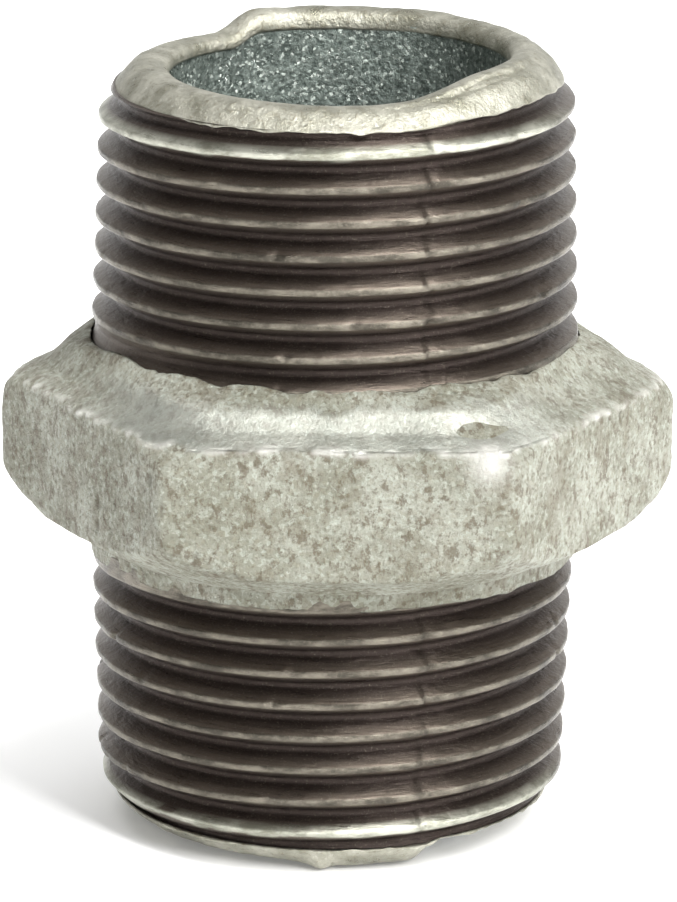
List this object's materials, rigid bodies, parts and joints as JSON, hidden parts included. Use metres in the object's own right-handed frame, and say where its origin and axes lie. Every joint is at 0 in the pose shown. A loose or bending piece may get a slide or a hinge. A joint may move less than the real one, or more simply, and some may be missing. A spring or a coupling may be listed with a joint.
{
  "type": "hexagon nipple",
  "caption": "Short galvanised iron pipe fitting with a taper male pipe thread at each end, a hexagon between them for a wrench, and a bore right through.",
  "frame": {"origin": "on the pipe axis, in the plane of the lower end face", "axes": "+Z along the pipe axis, up through the fitting; the hexagon's corners point along +X and -X and its flats face +Y and -Y"},
  "size_m": [0.0466, 0.041, 0.053],
  "materials": {
    "bare_iron": "die-cut malleable iron, bare, dark brown-grey, satin with brighter crests",
    "zinc_outside": "hot-dip galvanised, spangled and mottled on the hexagon, glossy on its shoulders",
    "zinc_bore": "hot-dip galvanised over a rough cored wall, granular",
    "zinc_rim": "hot-dip galvanised, thick, smooth and lumpy"
  },
  "bodies": {
    "root": {"iron_casting": "bare_iron", "zinc_coat_hexagon": "zinc_outside", "zinc_coat_bore": "zinc_bore", "zinc_coat_lower_rim": "zinc_rim", "zinc_coat_upper_rim": "zinc_rim"}
  },
  "joints": []
}
